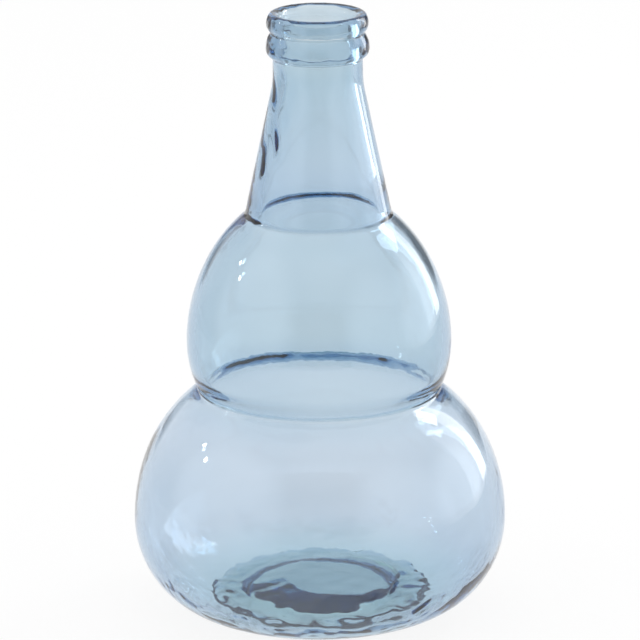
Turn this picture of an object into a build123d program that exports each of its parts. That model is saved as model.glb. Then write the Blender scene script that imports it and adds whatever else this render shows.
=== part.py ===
from build123d import *
import os
from math import acos, degrees, radians, sin

# Double gourd vase of pale blue glass. Its axis is Z, it stands on Z = 0, and its front faces -Y.
# All sizes are in millimetres. Heights run upwards from the crease or line below each section.

# Base: the flat ring that the vase stands on, the push-up inside that ring, and the mound on the floor
base_radius = 54.0
bearing_radius = 47.8
bearing_width = 12.0
push_up_height = 5.0
push_up_flank = 12.0
ring_rise = 1.5
mound_radius = 38.5
mound_flank = 9.0
mound_height = 5.0
base_blend_radius = 3.0

# Lower bulb, from the table to the waist crease
lower_bulb_height = 112.2
lower_belly_radius = 91.6
lower_belly_height = 46.8
lower_shoulder_reach = 63.3
lower_bulb_wall = 4.0
heel_wall = 5.0

# Waist: how far the crease lies inside the upper belly, and the rib of glass behind the crease
waist_inset = 5.6
waist_wall = 7.6
waist_rib_rise = 1.0

# Upper bulb, from the waist crease to the neck's root
upper_bulb_height = 88.2
upper_belly_radius = 64.8
upper_belly_height = 23.9
upper_shoulder_reach = 73.7
upper_foot_reach = 60.0
upper_bulb_wall = 4.2

# Neck: a cone from the root crease, then a short straight length up to the collar
neck_root_radius = 35.8
neck_root_wall = 6.0
neck_cone_height = 65.5
neck_straight_height = 12.1
neck_blend_radius = 40.0
bore_radius = 17.4
neck_wall = 4.4

# Collar ring: its widest circle lies low, so that its upper side slopes gently
collar_height = 12.5
collar_overhang = 3.3
collar_crown_height = 4.5

# Lip ring and the groove that parts it from the collar
lip_height = 9.5
lip_overhang = 2.9
lip_crown_height = 4.2
groove_depth = 2.2
mouth_rounding = 4.6

# Radii and heights that follow from the values above
neck_radius = bore_radius + neck_wall
collar_radius = neck_radius + collar_overhang
lip_radius = neck_radius + lip_overhang
groove_radius = lip_radius - groove_depth
rim_radius = bore_radius + mouth_rounding
waist_radius = upper_belly_radius - waist_inset
waist_z = lower_bulb_height
root_z = waist_z + upper_bulb_height
cone_top_z = root_z + neck_cone_height
collar_z = cone_top_z + neck_straight_height
groove_z = collar_z + collar_height
rim_z = groove_z + lip_height

up = (0, 1)
down = (0, -1)


class HalfBulb:
    """Elliptical arc from a belly's widest circle to the crease that ends it."""

    def __init__(self, belly_radius, belly_z, reach, crease_radius, crease_z):
        turn = acos((crease_radius - belly_radius + reach) / reach)
        self.belly_radius = belly_radius
        self.belly_z = belly_z
        self.reach = reach
        self.rise = abs(crease_z - belly_z) / sin(turn)
        self.turn = degrees(turn) if crease_z > belly_z else -degrees(turn)

    def arc(self):
        centre = (self.belly_radius - self.reach, self.belly_z)
        return EllipticalCenterArc(centre, self.reach, self.rise, arc_size=self.turn)

    def lining(self, wall, crease_radius, crease_z):
        """Arc on the inside of the glass: one wall in at the belly, and ending behind the crease."""
        return HalfBulb(
            self.belly_radius - wall, self.belly_z, self.reach - wall, crease_radius, crease_z
        ).arc()


lower_shoulder = HalfBulb(
    lower_belly_radius, lower_belly_height, lower_shoulder_reach, waist_radius, waist_z
)
upper_belly_z = waist_z + upper_belly_height
upper_foot = HalfBulb(
    upper_belly_radius, upper_belly_z, upper_foot_reach, waist_radius, waist_z
)
upper_shoulder = HalfBulb(
    upper_belly_radius, upper_belly_z, upper_shoulder_reach, neck_root_radius, root_z
)

# Points behind the two creases, where the linings of the sections meet
waist_inner = (waist_radius - waist_wall, waist_z + waist_rib_rise)
root_inner = (neck_root_radius - neck_root_wall, root_z)

# Heel: the outside and the inside turn under to the edge of the base
heel_centre = (bearing_radius, lower_belly_height)
heel_reach = lower_belly_radius - bearing_radius
heel_turn = degrees(acos((base_radius - bearing_radius) / heel_reach))
inner_heel_turn = degrees(acos((base_radius - bearing_radius) / (heel_reach - lower_bulb_wall)))

# Lip ring: a bead that rises from the groove, turns over at the rim and runs into the mouth
with BuildPart() as lip_ring:
    with BuildSketch(Plane.XZ):
        with BuildLine():
            crown = (lip_radius, groove_z + lip_crown_height)
            under = TangentArc(crown, (groove_radius, groove_z), tangent=down)
            EllipticalCenterArc(
                (rim_radius, crown[1]), lip_radius - rim_radius, lip_height - lip_crown_height
            )
            mouth = CenterArc((rim_radius, rim_z - mouth_rounding), mouth_rounding, 90, 90)
            Polyline(mouth @ 1, (bore_radius, groove_z), under @ 1)
        make_face()
    revolve(axis=Axis.Z)
lip_ring.part.label = "lip_ring"

# Collar ring: widest low down, sloping gently up to the groove and turning in sharply below
with BuildPart() as collar_ring:
    with BuildSketch(Plane.XZ):
        with BuildLine():
            crown = (collar_radius, collar_z + collar_crown_height)
            over = TangentArc(crown, (groove_radius, groove_z), tangent=up)
            under = TangentArc(crown, (neck_radius, collar_z), tangent=down)
            Polyline(over @ 1, (bore_radius, groove_z), (bore_radius, collar_z), under @ 1)
        make_face()
    revolve(axis=Axis.Z)
collar_ring.part.label = "collar_ring"

# Neck: cone and straight length, blended on the outside and in the bore
with BuildPart() as neck:
    with BuildSketch(Plane.XZ):
        with BuildLine():
            outside = FilletPolyline(
                (neck_root_radius, root_z),
                (neck_radius, cone_top_z),
                (neck_radius, collar_z),
                radius=neck_blend_radius,
            )
            bore = FilletPolyline(
                root_inner,
                (bore_radius, cone_top_z),
                (bore_radius, collar_z),
                radius=neck_blend_radius,
            )
            Line(outside @ 0, bore @ 0)
            Line(outside @ 1, bore @ 1)
        make_face()
    revolve(axis=Axis.Z)
neck.part.label = "neck"

# Upper bulb: two half bulbs between the root crease and the waist crease
with BuildPart() as upper_bulb:
    with BuildSketch(Plane.XZ):
        with BuildLine():
            shoulder = upper_shoulder.arc()
            foot = upper_foot.arc()
            upper_shoulder.lining(upper_bulb_wall, *root_inner)
            upper_foot.lining(upper_bulb_wall, *waist_inner)
            Line(shoulder @ 1, root_inner)
            Line(foot @ 1, waist_inner)
        make_face()
    revolve(axis=Axis.Z)
upper_bulb.part.label = "upper_bulb"

# Lower bulb: shoulder, belly and heel, down to the edge of the base
with BuildPart() as lower_bulb:
    with BuildSketch(Plane.XZ):
        with BuildLine():
            shoulder = lower_shoulder.arc()
            lower_shoulder.lining(lower_bulb_wall, *waist_inner)
            heel = EllipticalCenterArc(heel_centre, heel_reach, lower_belly_height, arc_size=-heel_turn)
            inner_heel = EllipticalCenterArc(
                heel_centre,
                heel_reach - lower_bulb_wall,
                lower_belly_height - heel_wall,
                arc_size=-inner_heel_turn,
            )
            Line(shoulder @ 1, waist_inner)
            Line(heel @ 1, inner_heel @ 1)
        make_face()
    revolve(axis=Axis.Z)
lower_bulb.part.label = "lower_bulb"

# Base: the end of the heel, the bearing ring and the push-up underneath, the ring and the mound inside
with BuildPart() as base:
    with BuildSketch(Plane.XZ):
        with BuildLine():
            under_heel = EllipticalCenterArc(
                heel_centre, heel_reach, lower_belly_height, start_angle=-90, arc_size=90 - heel_turn
            )
            inner_drop = (lower_belly_height - heel_wall) * sin(radians(inner_heel_turn))
            edge_top = (base_radius, lower_belly_height - inner_drop)
            ring_z = edge_top[1] + ring_rise
            mound_z = ring_z + mound_height
            floor = FilletPolyline(
                edge_top,
                (mound_radius, ring_z),
                (mound_radius - mound_flank, mound_z),
                (0, mound_z),
                radius=base_blend_radius,
            )
            push_up_radius = bearing_radius - bearing_width
            push_up = FilletPolyline(
                (0, push_up_height),
                (push_up_radius - push_up_flank, push_up_height),
                (push_up_radius, 0),
                (bearing_radius, 0),
                radius=base_blend_radius,
            )
            Line(under_heel @ 1, edge_top)
            Line(floor @ 1, push_up @ 0)
        make_face()
    revolve(axis=Axis.Z)
base.part.label = "base"

os.makedirs("parts", exist_ok=True)
export_step(lip_ring.part, "parts/lip_ring.step")
export_step(collar_ring.part, "parts/collar_ring.step")
export_step(neck.part, "parts/neck.step")
export_step(upper_bulb.part, "parts/upper_bulb.step")
export_step(lower_bulb.part, "parts/lower_bulb.step")
export_step(base.part, "parts/base.step")
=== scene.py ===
import math

import bpy
import numpy as np
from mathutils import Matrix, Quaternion, Vector


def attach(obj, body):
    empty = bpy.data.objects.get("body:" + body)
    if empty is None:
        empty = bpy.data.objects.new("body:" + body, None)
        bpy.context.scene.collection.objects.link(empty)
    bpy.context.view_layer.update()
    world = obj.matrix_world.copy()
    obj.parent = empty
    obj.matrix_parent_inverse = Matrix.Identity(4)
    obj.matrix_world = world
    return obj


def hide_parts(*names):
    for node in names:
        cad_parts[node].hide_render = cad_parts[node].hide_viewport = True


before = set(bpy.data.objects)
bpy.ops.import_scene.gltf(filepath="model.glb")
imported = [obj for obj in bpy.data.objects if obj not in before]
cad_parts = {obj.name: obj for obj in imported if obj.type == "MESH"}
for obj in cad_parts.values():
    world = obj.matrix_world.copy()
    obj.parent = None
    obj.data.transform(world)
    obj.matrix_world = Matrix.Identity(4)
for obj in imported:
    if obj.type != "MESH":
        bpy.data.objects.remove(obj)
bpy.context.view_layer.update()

MM = 0.001
TURN = 2 * math.pi

# Sizes of the glass in millimetres. The outside has those of the solids. The walls, the push-up
# underneath and the floor of the base are fitted to the look of the glass instead.
base_radius, bearing_radius = 54.0, 47.8
push_up_radius, push_up_height, push_up_flank = 37.0, 2.5, 3.5
ring_z, edge_inset, edge_step = 10.5, 1.2, 4.5
mound_radius, mound_flank, mound_height = 38.5, 11.0, 1.3
mound_right, mound_back = 10.0, 3.5
lower_bulb_height, lower_belly_radius, lower_belly_height = 112.2, 91.6, 46.8
lower_shoulder_reach, lower_bulb_wall, heel_wall = 63.3, 3.8, 4.4
waist_inset = 5.6
upper_bulb_height, upper_belly_radius, upper_belly_height = 88.2, 64.8, 23.9
upper_shoulder_reach, upper_foot_reach, upper_bulb_wall = 73.7, 60.0, 4.2
neck_root_radius, neck_cone_height = 35.8, 65.5
neck_straight_height, neck_blend_radius, bore_radius, neck_wall = 12.1, 40.0, 17.4, 4.4
collar_height, collar_overhang, collar_crown_height = 12.5, 3.3, 4.5
lip_height, lip_overhang, lip_crown_height = 9.5, 2.9, 4.2
groove_depth, mouth_rounding = 2.2, 4.6

# Wall on each side of the two creases: at the crease, far from it, and the extra glass behind
# the crease, as its thickness, how far it reaches and how fast it falls off
waist_above = (4.3, upper_bulb_wall, 4.57, 6.5, 3.66)
waist_below = (3.0, lower_bulb_wall, 0.65, 25.9, 0.8)
waist_drop, waist_drop_reach = -1.2, 8.4
root_above = (4.4, neck_wall, 2.07, 20.7, 1.19)
root_below = (4.0, upper_bulb_wall, 0.63, 23.0, 0.8)

neck_radius = bore_radius + neck_wall
collar_radius = neck_radius + collar_overhang
lip_radius = neck_radius + lip_overhang
groove_radius = lip_radius - groove_depth
rim_radius = bore_radius + mouth_rounding
waist_radius = upper_belly_radius - waist_inset
waist_z = lower_bulb_height
upper_belly_z = waist_z + upper_belly_height
root_z = waist_z + upper_bulb_height
cone_top_z = root_z + neck_cone_height
collar_z = cone_top_z + neck_straight_height
groove_z = collar_z + collar_height
rim_z = groove_z + lip_height
mound_z = ring_z + mound_height


# Profile of the glass, as runs of (radius, height) points

ELLIPSE_POINTS, ARC_POINTS, CREASE_POINTS = 400, 200, 40
PROFILE_STEP, NECK_STEP, SAME_PLACE = 0.2, 0.5, 1e-6
SETTLE_START = 0.375  # share of a line's length after which its wall goes over to the far one
SOFTEN_ROUNDS, SOFTEN_MOVE = 2.0, 0.5
FAR_AWAY = 1000.0


def bump(distance, reach):
    """1 at no distance, falling off to both sides."""
    return np.exp(-(distance / reach) ** 2)


def lengths(points, weight=1.0):
    """Distance travelled along a line, at each of its points."""
    steps = np.linalg.norm(np.diff(points, axis=0), axis=1)
    return np.concatenate([[0], np.cumsum(steps * weight)])


def ellipse_run(centre, across, along, start, end):
    t = np.radians(np.linspace(start, end, ELLIPSE_POINTS))
    return np.stack([centre[0] + across * np.cos(t), centre[1] + along * np.sin(t)], 1)


def tangent_run(start, end, direction):
    """Circular arc that leaves start along direction and ends at end."""
    p, q = np.array(start, float), np.array(end, float)
    d = np.array(direction, float)
    d /= np.linalg.norm(d)
    n = np.array([-d[1], d[0]])
    chord = q - p
    radius = chord.dot(chord) / (2.0 * chord.dot(n))
    centre = p + radius * n
    a = math.atan2(*(p - centre)[::-1])
    b = math.atan2(*(q - centre)[::-1])
    turn = (b - a) % TURN if radius > 0 else -((a - b) % TURN)
    t = np.linspace(a, a + turn, ARC_POINTS)
    return centre + abs(radius) * np.stack([np.cos(t), np.sin(t)], 1)


def blended_run(a, corner, b, radius):
    """Two straight lines with a rounded corner."""
    a, corner, b = (np.array(p, float) for p in (a, corner, b))
    u, v = ((p - corner) / np.linalg.norm(p - corner) for p in (a, b))
    half = math.acos(max(-1.0, min(1.0, u.dot(v)))) / 2
    reach = radius / math.tan(half)
    return np.concatenate([[a], tangent_run(corner + u * reach, corner + v * reach, -u), [b]])


def half_bulb(belly_radius, belly_z, reach, crease_radius, crease_z):
    """Elliptical arc from a belly's widest circle to the crease that ends it."""
    turn = math.acos((crease_radius - belly_radius + reach) / reach)
    rise = abs(crease_z - belly_z) / math.sin(turn)
    end = math.degrees(turn) if crease_z > belly_z else -math.degrees(turn)
    return ellipse_run((belly_radius - reach, belly_z), reach, rise, 0, end)


def even(points, step):
    """The same line with points an even step apart."""
    gap = np.linalg.norm(np.diff(points, axis=0), axis=1)
    points = points[np.concatenate([[True], gap > SAME_PLACE])]
    along = lengths(points)
    s = np.linspace(0, along[-1], int(round(along[-1] / step)) + 1)
    return np.stack([np.interp(s, along, points[:, 0]), np.interp(s, along, points[:, 1])], 1)


def soften(points, sigma, step):
    """Rounds the corners of the line: sigma is how far, in millimetres, at each point."""
    most = float(sigma.max())
    rounds = int(math.ceil(SOFTEN_ROUNDS * (most / step) ** 2))
    w = ((sigma / most) ** 2)[1:-1, None]
    p = points.copy()
    for _ in range(rounds):
        p[1:-1] += SOFTEN_MOVE * w * (p[:-2] - 2 * p[1:-1] + p[2:])
    return p


def normals(points):
    """Directions square to the line that point out of the glass."""
    t = np.gradient(points, axis=0)
    t /= np.linalg.norm(t, axis=1, keepdims=True)
    return np.stack([t[:, 1], -t[:, 0]], 1)


def from_point(points, at, step):
    """Distance along the line from the place nearest to a point, negative before it."""
    k = int(np.argmin(np.hypot(points[:, 0] - at[0], points[:, 1] - at[1])))
    return (np.arange(len(points)) - k) * step


def lining(above, below, walls_above, walls_below, drop=0.0, drop_reach=1.0):
    """Inside of the glass past a crease, and the middle of its round.

    It runs from the far end of the outside line above the crease to that of the line below it.
    """
    ends, lines = [], []
    for line, walls, turn in ((above, walls_above, 1), (below, walls_below, -1)):
        wall, far_wall, extra, reach, power = walls
        s = lengths(line)
        out = turn * normals(line)
        settled = np.clip((s / s[-1] - SETTLE_START) / (1 - SETTLE_START), 0, 1)
        thick = wall + (far_wall - wall) * settled
        thick += extra * np.maximum(0, 1 - s / reach) ** power
        ends.append((math.atan2(-out[0, 1], -out[0, 0]), thick[0]))
        lines.append(line - out * thick[:, None] + np.outer(bump(s, drop_reach), (0, drop)))
    (a, thick_a), (b, thick_b) = ends
    k = np.linspace(0, 1, CREASE_POINTS)
    t = a + k * ((b - a + math.pi) % TURN - math.pi)
    thick = thick_a + k * (thick_b - thick_a)
    crease = above[0] + np.stack([thick * np.cos(t), thick * np.sin(t) + drop], 1)
    return np.concatenate([lines[0][::-1], crease, lines[1]]), crease[CREASE_POINTS // 2]


lower_shoulder = half_bulb(
    lower_belly_radius, lower_belly_height, lower_shoulder_reach, waist_radius, waist_z
)
upper_foot = half_bulb(
    upper_belly_radius, upper_belly_z, upper_foot_reach, waist_radius, waist_z
)
upper_shoulder = half_bulb(
    upper_belly_radius, upper_belly_z, upper_shoulder_reach, neck_root_radius, root_z
)
heel_centre = (bearing_radius, lower_belly_height)
heel_reach = lower_belly_radius - bearing_radius
lip_crown = (lip_radius, groove_z + lip_crown_height)
collar_crown = (collar_radius, collar_z + collar_crown_height)
neck_line = blended_run(
    (neck_root_radius, root_z),
    (neck_radius, cone_top_z),
    (neck_radius, collar_z),
    neck_blend_radius,
)
outside = np.concatenate([
    [(0, push_up_height), (push_up_radius - push_up_flank, push_up_height), (push_up_radius, 0)],
    ellipse_run(heel_centre, heel_reach, lower_belly_height, -90, 0),
    lower_shoulder,
    upper_foot[::-1],
    upper_shoulder,
    neck_line,
    tangent_run(collar_crown, (neck_radius, collar_z), (0, -1))[::-1],
    tangent_run(collar_crown, (groove_radius, groove_z), (0, 1)),
    tangent_run(lip_crown, (groove_radius, groove_z), (0, -1))[::-1],
    ellipse_run(
        (rim_radius, lip_crown[1]), lip_radius - rim_radius, lip_height - lip_crown_height, 0, 90
    ),
])

root_line, root_inner = lining(
    even(neck_line, NECK_STEP), upper_shoulder[::-1], root_above, root_below
)
waist_line, waist_inner = lining(
    upper_foot[::-1], lower_shoulder[::-1], waist_above, waist_below, waist_drop, waist_drop_reach
)
inner_heel_reach = heel_reach - lower_bulb_wall
inner_heel_turn = math.degrees(math.acos((base_radius - bearing_radius) / inner_heel_reach))
inner_heel = ellipse_run(
    heel_centre, inner_heel_reach, lower_belly_height - heel_wall, 0, -inner_heel_turn
)
heel_end_z = inner_heel[-1, 1]
inside = np.concatenate([
    ellipse_run((rim_radius, rim_z - mouth_rounding), mouth_rounding, mouth_rounding, 90, 180),
    root_line,
    waist_line[2:],
    inner_heel[2:],
    [
        (base_radius - edge_inset, heel_end_z + edge_step),
        (mound_radius, ring_z),
        (mound_radius - mound_flank, mound_z),
        (0, mound_z),
    ],
])

# How far corners are rounded, in millimetres, and where
out_rounding, bead_rounding, bearing_rounding = 0.7, 0.35, 1.2
bead_margin, on_table = 2, 0.05
in_rounding, waist_rounding, root_rounding, bore_rounding, floor_rounding = 2.2, 4.2, 1.0, 0.35, 0.8
crease_reach, floor_top = 16, 15

out_even = even(outside, PROFILE_STEP)
sigma = np.full(len(out_even), out_rounding)
sigma[out_even[:, 1] > collar_z - bead_margin] = bead_rounding
sigma[out_even[:, 1] < on_table] = bearing_rounding
out_soft = soften(out_even, sigma, PROFILE_STEP)

in_even = even(inside, PROFILE_STEP)
sigma = np.full(len(in_even), in_rounding)
sigma[np.abs(from_point(in_even, waist_inner, PROFILE_STEP)) < crease_reach] = waist_rounding
sigma[in_even[:, 1] > root_z - crease_reach] = root_rounding
sigma[in_even[:, 1] > cone_top_z] = bore_rounding
sigma[in_even[:, 1] < floor_top] = floor_rounding
in_soft = soften(in_even, sigma, PROFILE_STEP)

profile = np.concatenate([out_soft, in_soft[1:]])
is_inside = np.arange(len(profile)) >= len(out_soft)
far = np.full(len(out_soft), FAR_AWAY)
to_waist = np.concatenate([far, from_point(in_soft, waist_inner, PROFILE_STEP)[1:]])
to_root = np.concatenate([far, from_point(in_soft, root_inner, PROFILE_STEP)[1:]])

# Rings of the mesh: how far apart they lie in each place, in millimetres
SIDES = 320
bulb_gap, heel_gap, floor_gap, bead_gap, bore_gap = 1.8, 1.1, 0.8, 0.5, 1.4
heel_gap_top, floor_gap_top, bead_gap_margin, mouth_gap_margin = 30, 14, 3, 5
crease_gap, crease_gap_growth, crease_gap_reach = 0.6, 0.16, 3.5
waist_gap, root_gap, ridge_gap_growth, ridge_gap_reach = 0.45, 0.3, 0.12, 5.0


def ring_gaps(points, inner):
    """How far apart the rings lie: close round the beads and creases, wider on the bulbs."""
    z = points[:, 1]
    beads = z > collar_z - bead_gap_margin
    gap = np.full(len(points), bulb_gap)
    for line in (waist_z, root_z):
        past = np.maximum(0, np.abs(z - line) - crease_gap_reach)
        gap = np.minimum(gap, crease_gap + crease_gap_growth * past)
    for along, finest in ((to_waist, waist_gap), (to_root, root_gap)):
        past = np.maximum(0, np.abs(along) - ridge_gap_reach)
        gap = np.minimum(gap, finest + ridge_gap_growth * past)
    gap = np.where(beads, bead_gap, gap)
    gap = np.where(inner & beads & (z < rim_z - mouth_gap_margin), bore_gap, gap)
    gap = np.where(z < heel_gap_top, heel_gap, gap)
    return np.where(inner & (z < floor_gap_top), floor_gap, gap)


density = 1.0 / ring_gaps(profile, is_inside)
travel = lengths(profile, density[1:])
stops = np.linspace(0, travel[-1], int(round(travel[-1])))


def at_stops(values):
    """Values along the profile, read at each ring and at the two poles."""
    return np.interp(stops, travel, values)


ring_r, ring_h = at_stops(profile[:, 0]), at_stops(profile[:, 1])
ring_n = normals(np.stack([ring_r, ring_h], 1))
rings = len(stops) - 2
angle = np.arange(SIDES) * (TURN / SIDES)
R = np.repeat(ring_r[1:-1, None], SIDES, 1)
Z = np.repeat(ring_h[1:-1, None], SIDES, 1)
A = np.repeat(angle[None, :], rings, 0)
IN = at_stops(is_inside.astype(float))[1:-1, None] > 0.5
NR, NZ = ring_n[1:-1, :1], ring_n[1:-1, 1:]
FROM_WAIST, FROM_ROOT = at_stops(to_waist)[1:-1, None], at_stops(to_root)[1:-1, None]


# The marks of hand-made glass: a wall of uneven thickness, ripples, ragged edges inside

BACK, LEFT, FRONT = 90, 180, 270
WAVES, SHORTEST, LONGEST = 28, 0.7, 1.5


def waves(x, y, z, size, seed):
    """Smooth uneven field whose bumps are about size millimetres long, with a spread of one."""
    rng = np.random.default_rng(seed)
    total = np.zeros(np.broadcast(x, y, z).shape)
    for _ in range(WAVES):
        d = rng.normal(size=3)
        d *= TURN / (size * rng.uniform(SHORTEST, LONGEST)) / np.linalg.norm(d)
        total += np.cos(d[0] * x + d[1] * y + d[2] * z + rng.uniform(0, TURN))
    return total / math.sqrt(WAVES / 2)


def round_waves(a, low, high, fall, seed):
    """Uneven line round the axis, made of low to high waves a turn, with a spread of one."""
    rng = np.random.default_rng(seed)
    k = np.arange(low, high + 1)
    size = k ** -float(fall)
    size /= math.sqrt((size ** 2).sum() / 2)
    phase = rng.uniform(0, TURN, len(k))
    return sum(s * np.cos(n * a + p) for n, s, p in zip(k, size, phase))


def fade(x, start, end):
    """0 at start and before it, 1 at end and after it."""
    t = np.clip((x - start) / (end - start), 0, 1)
    return t * t * (3 - 2 * t)


def within(x, rise, fall):
    """1 in a zone and 0 outside it, with soft ends."""
    return fade(x, *rise) * (1 - fade(x, *fall))


def around(a, centre, width):
    """1 at a direction in degrees, falling off to both sides."""
    d = (a - math.radians(centre) + math.pi) % TURN - math.pi
    return bump(d, math.radians(width))


def bumps_around(a, bumps):
    """Sum of bumps round the axis, each with its depth, direction and width."""
    return sum(depth * around(a, centre, width) for depth, centre, width in bumps)


# Depths in millimetres, and zones as the heights or radii where they begin and end
slow_depth, slow_calmer, band_depth, band_calmer = 0.18, 0.11, 0.06, 0.03
bulb_taper, taper_end = 0.5, (172, 200)
wall_zone = (14, 40), (266, 276)
skin_depth, skin_zone = 0.05, ((1, 12), (270, 280))
streak_depth, streak_stretch, streak_zone = 0.48, 0.6, ((216, 230), (266, 277))
neck_extra, neck_zone = 1.0, ((206, 225), (262, 276))
heel_start, fine_ripple, coarse_ripple = (50, 56), 0.05, 0.12
ripple_zone = (5.2, 7.5), (22, 36)
heel_extra, heel_extra_at, heel_extra_zone = 1.2, -8, ((5.2, 12), (13, 32))
edge_line, edge_reach, edge_ragged, edge_uneven = base_radius - 0.5, 3.2, 1.2, 0.25
edge_calmer, edge_calm_at = 0.6, 250
flank_line, flank_reach, flank_ragged = mound_radius - 4.5, 6.0, 0.9
ring_ripple, ring_zone = 0.10, ((36, 40), (52, 55))
mound_ripple, mound_ripple_start = 0.05, (2, 8)
floor_drop, floor_drop_turn, floor_drop_start, floor_end = 0.55, 0.35, (27, 39), base_radius + 0.5
lean_margin, lean_end = 0.1, mound_radius + 2
waist_reach, waist_back_rise, waist_tilt = 7.0, 0.3, 0.3
waist_wavy, waist_uneven = 0.12, 0.10
waist_bumps = (0.5, BACK, 60), (-2.5, 190, 32), (-2.6, -10, 32), (-1.2, FRONT, 50)
root_reach, root_uneven = 5.0, 0.03
root_bumps = (0.45, BACK, 85), (-1.2, 195, 28), (-0.8, -10, 28), (-0.8, FRONT, 60)
tool_depth, tool_stretch, tool_at = 0.07, 1.4, 215
tool_start = collar_z - 1, collar_z + 3

X, Y = R * np.cos(A), R * np.sin(A)
out_by, up_by, wider_by = np.zeros(R.shape), np.zeros(R.shape), np.zeros(R.shape)

# Slow changes of the wall and soft upright bands from the blowing, calmer away from the creases,
# where the bulbs are thicker at the front than at the back
off_creases = (1 - bump(FROM_WAIST, crease_reach)) * (1 - bump(FROM_ROOT, crease_reach))
uneven = (slow_depth - slow_calmer * off_creases) * waves(X, Y, Z, size=80, seed=1)
bands = round_waves(A, low=4, high=12, fall=0.5, seed=2)
uneven += (band_depth - band_calmer * off_creases) * bands
uneven -= bulb_taper * np.sin(A) * off_creases * (1 - fade(Z, *taper_end))
out_by += IN * uneven * within(Z, *wall_zone)
out_by += ~IN * skin_depth * waves(X, Y, Z, size=45, seed=3) * within(Z, *skin_zone)

# Ripples in the neck's bore and a thicker wall, both on the left
streaks = around(A, LEFT, width=42) * waves(X, Y, streak_stretch * Z, size=11, seed=4)
out_by += IN * streak_depth * streaks * within(Z, *streak_zone)
out_by += IN * neck_extra * around(A, LEFT, width=60) * within(Z, *neck_zone)

# Heel: rippled inside, and thicker on the right
heel = IN * fade(R, *heel_start)
ripples = fine_ripple * waves(X, Y, Z, size=7, seed=5)
ripples += coarse_ripple * waves(X, Y, Z, size=15, seed=6)
out_by += heel * ripples * within(Z, *ripple_zone)
out_by += heel * heel_extra * around(A, heel_extra_at, width=50) * within(Z, *heel_extra_zone)

# Base: a ragged edge, a rippled ring that lies lower at the front, and a mound with an uneven
# flank that leans to the right and back
floor_in = IN * (Z < floor_top)
edge = floor_in * bump(R - edge_line, edge_reach)
ragged = round_waves(A, low=7, high=60, fall=0.75, seed=7)
wider_by += edge_ragged * ragged * edge * (1 - edge_calmer * around(A, edge_calm_at, width=80))
up_by += edge_uneven * round_waves(A, low=9, high=50, fall=0.6, seed=8) * edge
flank = floor_in * bump(R - flank_line, flank_reach)
wider_by += flank_ragged * round_waves(A, low=3, high=20, fall=0.8, seed=9) * flank
up_by += floor_in * ring_ripple * waves(X, Y, Z, size=10, seed=10) * within(R, *ring_zone)
on_mound = floor_in * (R < mound_radius) * fade(R, *mound_ripple_start)
up_by += on_mound * mound_ripple * waves(X, Y, Z, size=13, seed=20)
raised = np.clip(Z - heel_end_z, 0, ring_z - heel_end_z) * fade(R, *floor_drop_start)
to_front = 0.5 - 0.5 * np.sin(A + floor_drop_turn)
up_by -= floor_in * (R < floor_end) * floor_drop * raised * to_front
lean = floor_in * (R < lean_end) * fade(Z, ring_z + lean_margin, mound_z - lean_margin)

# Ridge behind the waist: wavy, higher at the back and on the right, thickest at the back
ridge = IN * bump(FROM_WAIST, waist_reach)
up_by += ridge * (waist_back_rise * around(A, BACK, width=80) + waist_tilt * np.cos(A))
up_by += ridge * waist_wavy * round_waves(A, low=10, high=40, fall=0.6, seed=11)
out_by += ridge * waist_uneven * round_waves(A, low=5, high=30, fall=0.6, seed=12)
out_by += ridge * bumps_around(A, waist_bumps)

# Ridge behind the neck's root: nearly smooth, thickest at the back
ridge = IN * bump(FROM_ROOT, root_reach)
out_by += ridge * root_uneven * round_waves(A, low=9, high=30, fall=0.5, seed=13)
out_by += ridge * bumps_around(A, root_bumps)

# Lip and collar: shallow tool marks
tool_marks = waves(X, Y, tool_stretch * Z, size=6, seed=15)
tool_marks *= 0.5 + 0.5 * around(A, tool_at, width=70)
out_by += ~IN * tool_depth * tool_marks * fade(Z, *tool_start)

R = R + NR * out_by + wider_by
Z = np.clip(Z + NZ * out_by + up_by, 0.0, rim_z)
X, Y = R * np.cos(A) + mound_right * lean, R * np.sin(A) + mound_back * lean
poles = [[0, 0, ring_h[0]], [mound_right, mound_back, ring_h[-1]]]
verts = np.concatenate([np.stack([X, Y, Z], 2).reshape(-1, 3), poles]) * MM

row = np.arange(rings - 1)[:, None] * SIDES
side = np.arange(SIDES)[None, :]
next_side = (side + 1) % SIDES
quads = np.stack(
    [row + side, row + next_side, row + SIDES + next_side, row + SIDES + side], 2
).reshape(-1, 4)
last_row = (rings - 1) * SIDES
first_pole, last_pole = rings * SIDES, rings * SIDES + 1
pairs = [(int(a), int(b)) for a, b in zip(side[0], next_side[0])]
underneath = [(first_pole, b, a) for a, b in pairs]
floor_middle = [(last_pole, last_row + a, last_row + b) for a, b in pairs]
mesh = bpy.data.meshes.new("vase_glass")
mesh.from_pydata(verts.tolist(), [], quads.tolist() + underneath + floor_middle)
mesh.validate()
mesh.update()
mesh.shade_smooth()
vase = bpy.data.objects.new("vase_glass", mesh)
bpy.context.collection.objects.link(vase)


# Helpers for materials and the room: each makes one node and gives its output

RANGE_SOCKETS = ("From Min", "From Max", "To Min", "To Max")
COLOUR_A, COLOUR_B, COLOUR_OUT = 6, 7, 2  # sockets of a Mix node for colours
NONE_TO_ALL = (0.0, 1.0)
ALL_TO_NONE = (1.0, 0.0)


def map_range(tree, value, source, target=NONE_TO_ALL, smooth=False):
    """Value moved from one range to another."""
    node = tree.nodes.new("ShaderNodeMapRange")
    node.interpolation_type = "SMOOTHSTEP" if smooth else "LINEAR"
    for name, v in zip(RANGE_SOCKETS, source + target):
        node.inputs[name].default_value = v
    tree.links.new(value, node.inputs["Value"])
    return node.outputs["Result"]


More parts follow.
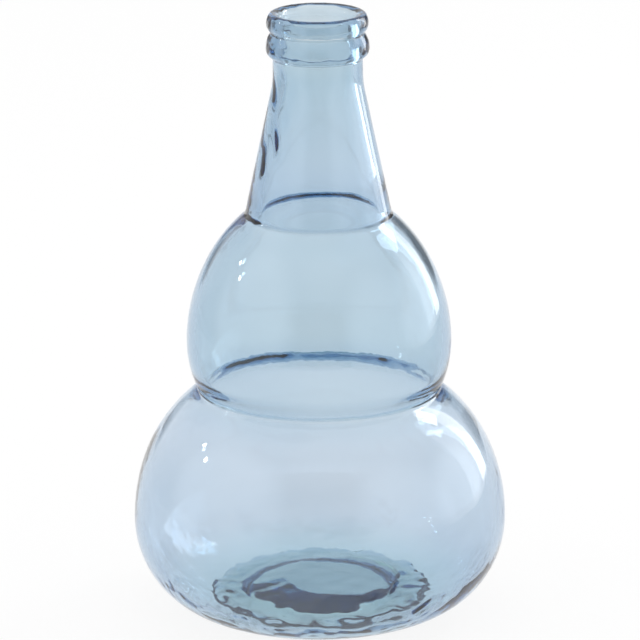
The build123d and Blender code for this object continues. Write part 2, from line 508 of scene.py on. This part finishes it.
def combine(tree, operation, a, b, clamp=False):
    """Sum or product of two values."""
    node = tree.nodes.new("ShaderNodeMath")
    node.operation, node.use_clamp = operation, clamp
    tree.links.new(a, node.inputs[0])
    tree.links.new(b, node.inputs[1])
    return node.outputs[0]


def length_of(tree, vector):
    """Length of a vector."""
    node = tree.nodes.new("ShaderNodeVectorMath")
    node.operation = "LENGTH"
    tree.links.new(vector, node.inputs[0])
    return node.outputs["Value"]


# Blue glass: clear surfaces, with most of the colour in the body

glass_index, body_density = 1.5, 100.0
body_colour = (0.282, 0.523, 0.720, 1)
full_height = 0.3
# Tint stops by height, as shares of full_height; the last one, on the collar and lip, is a painted
# reflection
height_tints_and_painted_reflection = (
    (0.004, (0.84, 0.96, 0.94, 1)),
    (0.060, (0.99, 0.988, 0.99, 1)),
    (0.330, (1.0, 0.99, 0.995, 1)),
    (0.400, (0.965, 0.99, 0.975, 1)),
    (0.640, (0.970, 0.99, 0.980, 1)),
    (0.700, (1.0, 1.0, 1.0, 1)),
    (0.900, (0.93, 0.97, 0.96, 1)),
    (0.940, (1.0, 1.0, 0.96, 1)),
)
no_tint, cloud_tint, base_tint = (1, 1, 1, 1), (0.98, 0.988, 0.992, 1), (0.92, 1.0, 0.90, 1)
cloud_range, base_tint_radii, base_tint_heights = (0.35, 0.65), (0.046, 0.055), (0.016, 0.022)
rough_noise_range, roughness_range = (0.3, 0.7), (0.0, 0.012)
skin_strength, skin_distance = 0.12, 0.0004

mat = bpy.data.materials.new("blue_glass")
mat.use_nodes = True
tree = mat.node_tree
nodes, links = tree.nodes, tree.links
glass = nodes["Principled BSDF"]
glass.inputs["Transmission Weight"].default_value = 1.0
glass.inputs["IOR"].default_value = glass_index
body = nodes.new("ShaderNodeVolumeAbsorption")
body.inputs["Color"].default_value = body_colour
body.inputs["Density"].default_value = body_density
links.new(body.outputs["Volume"], nodes["Material Output"].inputs["Volume"])
place = nodes.new("ShaderNodeTexCoord").outputs["Object"]


def noise(scale, detail, roughness):
    """Uneven value over the glass."""
    node = nodes.new("ShaderNodeTexNoise")
    node.inputs["Scale"].default_value = scale
    node.inputs["Detail"].default_value = detail
    node.inputs["Roughness"].default_value = roughness
    links.new(place, node.inputs["Vector"])
    return node.outputs["Fac"]


def mixed(a, b, factor=1.0, blend="MIX"):
    """Two colours, mixed or multiplied."""
    node = nodes.new("ShaderNodeMix")
    node.data_type, node.blend_type = "RGBA", blend
    sockets = node.inputs["Factor"], node.inputs[COLOUR_A], node.inputs[COLOUR_B]
    for socket, v in zip(sockets, (factor, a, b)):
        if isinstance(v, bpy.types.NodeSocket):
            links.new(v, socket)
        else:
            socket.default_value = v
    return node.outputs[COLOUR_OUT]


# Tint by height, with faint clouds, and a greener base. The last stop, on the collar and lip, is
# lighter and less blue than the neck below it: a painted reflection of the lamps and floor in their
# rings.
split = nodes.new("ShaderNodeSeparateXYZ")
links.new(place, split.inputs[0])
height = split.outputs["Z"]
ramp = nodes.new("ShaderNodeValToRGB")
links.new(map_range(tree, height, (0.0, full_height)), ramp.inputs["Fac"])
elements = ramp.color_ramp.elements
for n, (position, colour) in enumerate(height_tints_and_painted_reflection):
    element = elements[n] if n < 2 else elements.new(position)
    element.position, element.color = position, colour
cloudy = map_range(tree, noise(scale=14, detail=3, roughness=0.5), cloud_range)
tint = mixed(ramp.outputs["Color"], mixed(cloud_tint, no_tint, cloudy), blend="MULTIPLY")
flat_place = nodes.new("ShaderNodeVectorMath")
flat_place.operation = "MULTIPLY"
flat_place.inputs[1].default_value = (1, 1, 0)
links.new(place, flat_place.inputs[0])
from_axis = length_of(tree, flat_place.outputs["Vector"])
near_axis = map_range(tree, from_axis, base_tint_radii, ALL_TO_NONE)
low_down = map_range(tree, height, base_tint_heights, ALL_TO_NONE)
in_base = combine(tree, "MULTIPLY", near_axis, low_down)
tint = mixed(tint, mixed(no_tint, base_tint, in_base), blend="MULTIPLY")
links.new(tint, glass.inputs["Base Color"])

rough_noise = noise(scale=45, detail=2, roughness=0.5)
roughness = map_range(tree, rough_noise, rough_noise_range, roughness_range)
links.new(roughness, glass.inputs["Roughness"])
skin = nodes.new("ShaderNodeBump")
skin.inputs["Strength"].default_value = skin_strength
skin.inputs["Distance"].default_value = skin_distance
links.new(noise(scale=130, detail=2, roughness=0.5), skin.inputs["Height"])
links.new(skin.outputs["Normal"], glass.inputs["Normal"])
vase.data.materials.append(mat)

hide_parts("lip_ring", "collar_ring", "neck", "upper_bulb", "lower_bulb", "base")
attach(vase, "root")


# Studio: white floor and backdrop, soft lamps at the sides, a darker room in front

floor_left, floor_right, floor_front, floor_back, below_glass = -0.95, 0.93, -0.7, 3, 0.0002
backdrop_half, backdrop_height = 0.9, 2.4
paper_colour = (0.92, 0.92, 0.92, 1)
# Painted shade under the vase: radii in metres over which the paper's glow rises, and its share
# there and in the open
painted_shade_reach, shine_share_with_painted_shade = (0.030, 0.060), (0.72, 0.9)


def sheet(name, corners):
    m = bpy.data.meshes.new(name)
    m.from_pydata(corners, [], [(0, 1, 2, 3)])
    o = bpy.data.objects.new(name, m)
    bpy.context.collection.objects.link(o)
    return o


floor = sheet("floor", [
    (floor_left, floor_front, 0),
    (floor_right, floor_front, 0),
    (floor_right, floor_back, 0),
    (floor_left, floor_back, 0),
])
floor.location.z = -below_glass
backdrop = sheet("backdrop", [
    (-backdrop_half, floor_back, 0),
    (backdrop_half, floor_back, 0),
    (backdrop_half, floor_back, backdrop_height),
    (-backdrop_half, floor_back, backdrop_height),
])

# Paper: lit by the lamps and shining a little where it is looked at, less so under the vase,
# which paints shade there, and clear from its back so that it hides nothing
paper = bpy.data.materials.new("white_paper")
paper.use_nodes = True
tree = paper.node_tree
nodes, links = tree.nodes, tree.links
nodes.clear()


def shader_mix(factor, a, b):
    """The first shader at a factor of 0 and the second one at 1."""
    node = nodes.new("ShaderNodeMixShader")
    for value, socket in zip((factor, a, b), node.inputs):
        links.new(value, socket)
    return node.outputs[0]


lit = nodes.new("ShaderNodeBsdfDiffuse")
lit.inputs["Color"].default_value = paper_colour
shining = nodes.new("ShaderNodeEmission")
shining.inputs["Strength"].default_value = 1.0
path = nodes.new("ShaderNodeLightPath").outputs
seen = combine(tree, "ADD", path["Is Camera Ray"], path["Is Glossy Ray"])
seen = combine(tree, "ADD", seen, path["Is Transmission Ray"], clamp=True)
from_vase = length_of(tree, nodes.new("ShaderNodeTexCoord").outputs["Object"])
# Less glow near the vase: painted shade where the vase stands
shine_with_painted_shade = map_range(tree, from_vase, painted_shade_reach, shine_share_with_painted_shade, smooth=True)
share = combine(tree, "MULTIPLY", seen, shine_with_painted_shade)
front_side = shader_mix(share, lit.outputs[0], shining.outputs[0])
behind = nodes.new("ShaderNodeNewGeometry").outputs["Backfacing"]
clear = nodes.new("ShaderNodeBsdfTransparent").outputs[0]
result = nodes.new("ShaderNodeOutputMaterial")
links.new(shader_mix(behind, front_side, clear), result.inputs["Surface"])
floor.data.materials.append(paper)
backdrop.data.materials.append(paper)

# Room: soft patches of light in directions round the vase, in degrees. The last two are dark
# gaps beside the backdrop.
room_light = (180, 15, 30, 115, 0.25, 1.0)
room_patches = (
    (0, 90, 25, 60, 0.0, 0.5),
    (-66, 12, 25, 48, 0.0, 0.8),
    (58, 10, 16, 40, 0.0, 0.75),
    (104, 5, 10, 28, 0.0, 1.2),
    (153, 4, 5, 13, 0.0, -0.75),
    (-156, -1, 4, 11, 0.0, -0.6),
)
world = bpy.data.worlds.new("studio")
bpy.context.scene.world = world
world.use_nodes = True
tree = world.node_tree
nodes, links = tree.nodes, tree.links
sky = nodes.new("ShaderNodeTexCoord").outputs["Generated"]


def toward(azimuth, elevation):
    """Direction out from the vase. Azimuth runs from the camera's side round by the right."""
    a, e = math.radians(azimuth), math.radians(elevation)
    return Vector((math.sin(a) * math.cos(e), -math.cos(a) * math.cos(e), math.sin(e)))


def glow(azimuth, elevation, inner, outer, low, high):
    """Soft patch of the room's light, from high inside one angle to low outside the other."""
    node = nodes.new("ShaderNodeVectorMath")
    node.operation = "DOT_PRODUCT"
    node.inputs[1].default_value = toward(azimuth, elevation)
    links.new(sky, node.inputs[0])
    edges = math.cos(math.radians(outer)), math.cos(math.radians(inner))
    return map_range(tree, node.outputs["Value"], edges, (low, high), smooth=True)


room = glow(*room_light)
for patch in room_patches:
    room = combine(tree, "ADD", room, glow(*patch))
links.new(room, nodes["Background"].inputs["Color"])
nodes["Background"].inputs["Strength"].default_value = 1.0

lamp_aim = Vector((0, 0, 0.15))


def lamp(name, azimuth, elevation, distance, width, height, brightness):
    """Soft lamp aimed at the vase: directions in degrees, lengths in metres."""
    data = bpy.data.lights.new(name, "AREA")
    data.shape = "RECTANGLE" if height > width else "DISK"
    data.size, data.size_y = width, height
    data.energy = brightness * math.pi * width * height
    o = bpy.data.objects.new(name, data)
    away = toward(azimuth, elevation)
    o.location = lamp_aim + distance * away
    o.rotation_mode = "QUATERNION"
    o.rotation_quaternion = away.to_track_quat("Z", "Y")
    bpy.context.collection.objects.link(o)


lamp("right_back_strip", 131, 19, distance=1.5, width=0.30, height=1.3, brightness=2.5)
lamp("right_back_wide", 124, 15, distance=1.6, width=0.8, height=1.2, brightness=0.7)
lamp("right_back_top", 126, 35, distance=1.5, width=0.24, height=0.30, brightness=6.0)
lamp("left_lamp_high", -104, 30, distance=1.3, width=0.07, height=0.07, brightness=18.0)
lamp("left_lamp_low", -93, 26, distance=1.3, width=0.07, height=0.07, brightness=18.0)

# Light passes many surfaces of glass before it reaches the paper
glass_bounces, mirror_bounces = 48, 24
scene = bpy.context.scene
scene.cycles.max_bounces = glass_bounces
scene.cycles.transmission_bounces = glass_bounces
scene.cycles.glossy_bounces = mirror_bounces

# Camera, fitted to the outline in the photo: focal length and width in pixels, place in metres
focal_pixels, photo_pixels, sensor_mm = 4966.86, 640.0, 36.0
camera_place, camera_down, camera_roll = (0.0005, -2.337255, 0.810492), 15.867, -0.28
farthest_seen = 50
cam = bpy.data.cameras.new("camera")
cam.sensor_width = sensor_mm
cam.lens = sensor_mm * focal_pixels / photo_pixels
cam.clip_end = farthest_seen
camera = bpy.data.objects.new("camera", cam)
bpy.context.collection.objects.link(camera)
camera.location = camera_place
camera.rotation_mode = "QUATERNION"
tilt = Quaternion((1, 0, 0), math.radians(90 - camera_down))
camera.rotation_quaternion = tilt @ Quaternion((0, 0, 1), math.radians(camera_roll))
scene.camera = camera
scene.view_settings.view_transform = "Standard"
